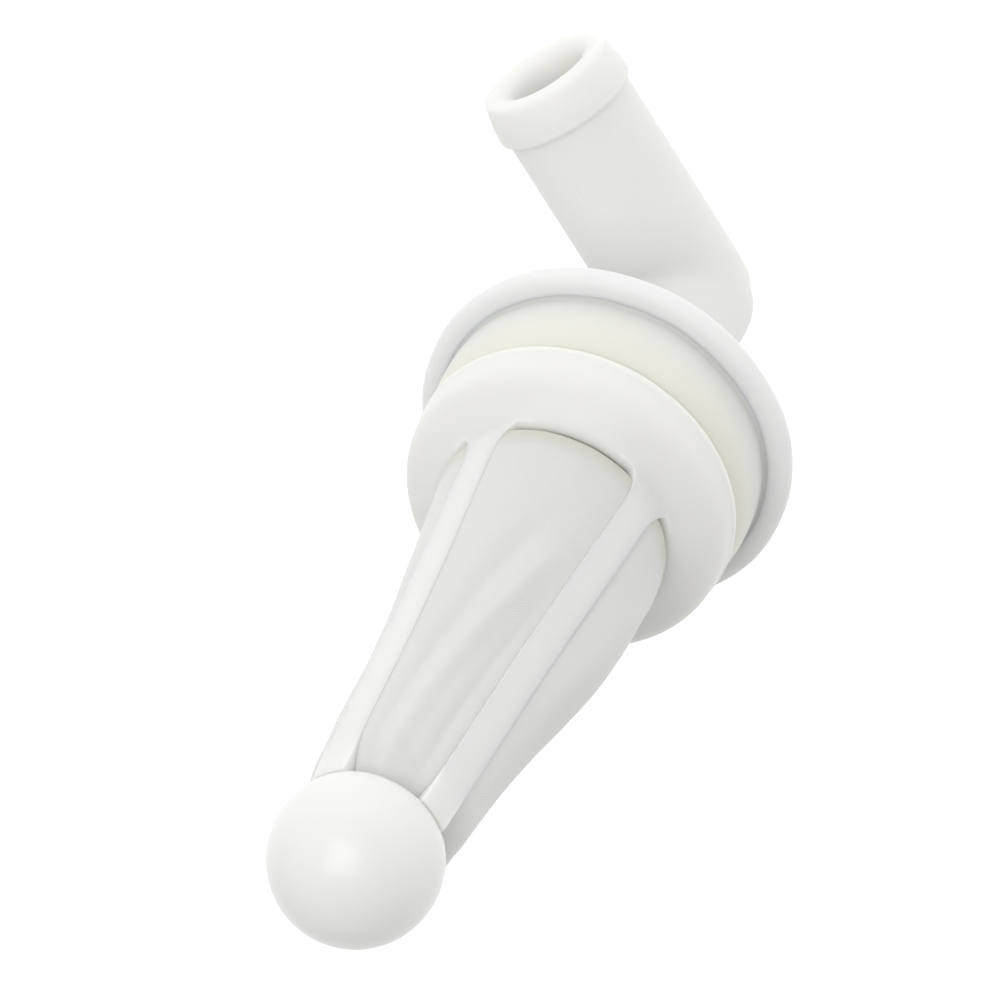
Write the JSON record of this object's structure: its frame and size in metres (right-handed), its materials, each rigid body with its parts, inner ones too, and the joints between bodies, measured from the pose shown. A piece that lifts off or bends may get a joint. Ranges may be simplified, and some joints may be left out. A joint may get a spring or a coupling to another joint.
{
  "type": "tank outlet strainer",
  "caption": "Push-in tank outlet: a swivelling barbed hose elbow, a flange with a soft neck seal, and a tapered ribbed gauze strainer with a ball end.",
  "frame": {"origin": "centre of the flange's sealing face, on the swivel axis", "axes": "+Z along the swivel axis into the tank, towards the ball end; +X along the hose arm at rest"},
  "size_m": [0.0332, 0.0266, 0.0785],
  "materials": {
    "elbow_plastic": "smooth white moulding, soft gloss",
    "collar_plastic": "smooth white moulding, satin",
    "seal_rubber": "cloudy, slightly yellow soft moulding",
    "cage_plastic": "smooth white moulding, satin",
    "ball_plastic": "smooth white moulding, soft gloss",
    "clip_plastic": "natural moulding, satin",
    "o_ring_rubber": "black, smooth",
    "gauze": "fine white woven gauze"
  },
  "bodies": {
    "collar": {"flange_collar": "collar_plastic", "neck_seal": "seal_rubber", "strainer_cage": "cage_plastic", "mesh_sleeve": "gauze", "mesh_clamp_ring": "clip_plastic", "tip_ball": "ball_plastic"},
    "elbow": {"hose_elbow": "elbow_plastic", "spigot_o_ring": "o_ring_rubber", "spigot_clip": "clip_plastic"}
  },
  "joints": [
    {"name": "elbow_swivel", "type": "hinge", "parent": "collar", "child": "elbow", "pos_m": [0, 0, 0], "axis": [0, 0, 1], "continuous": true}
  ]
}
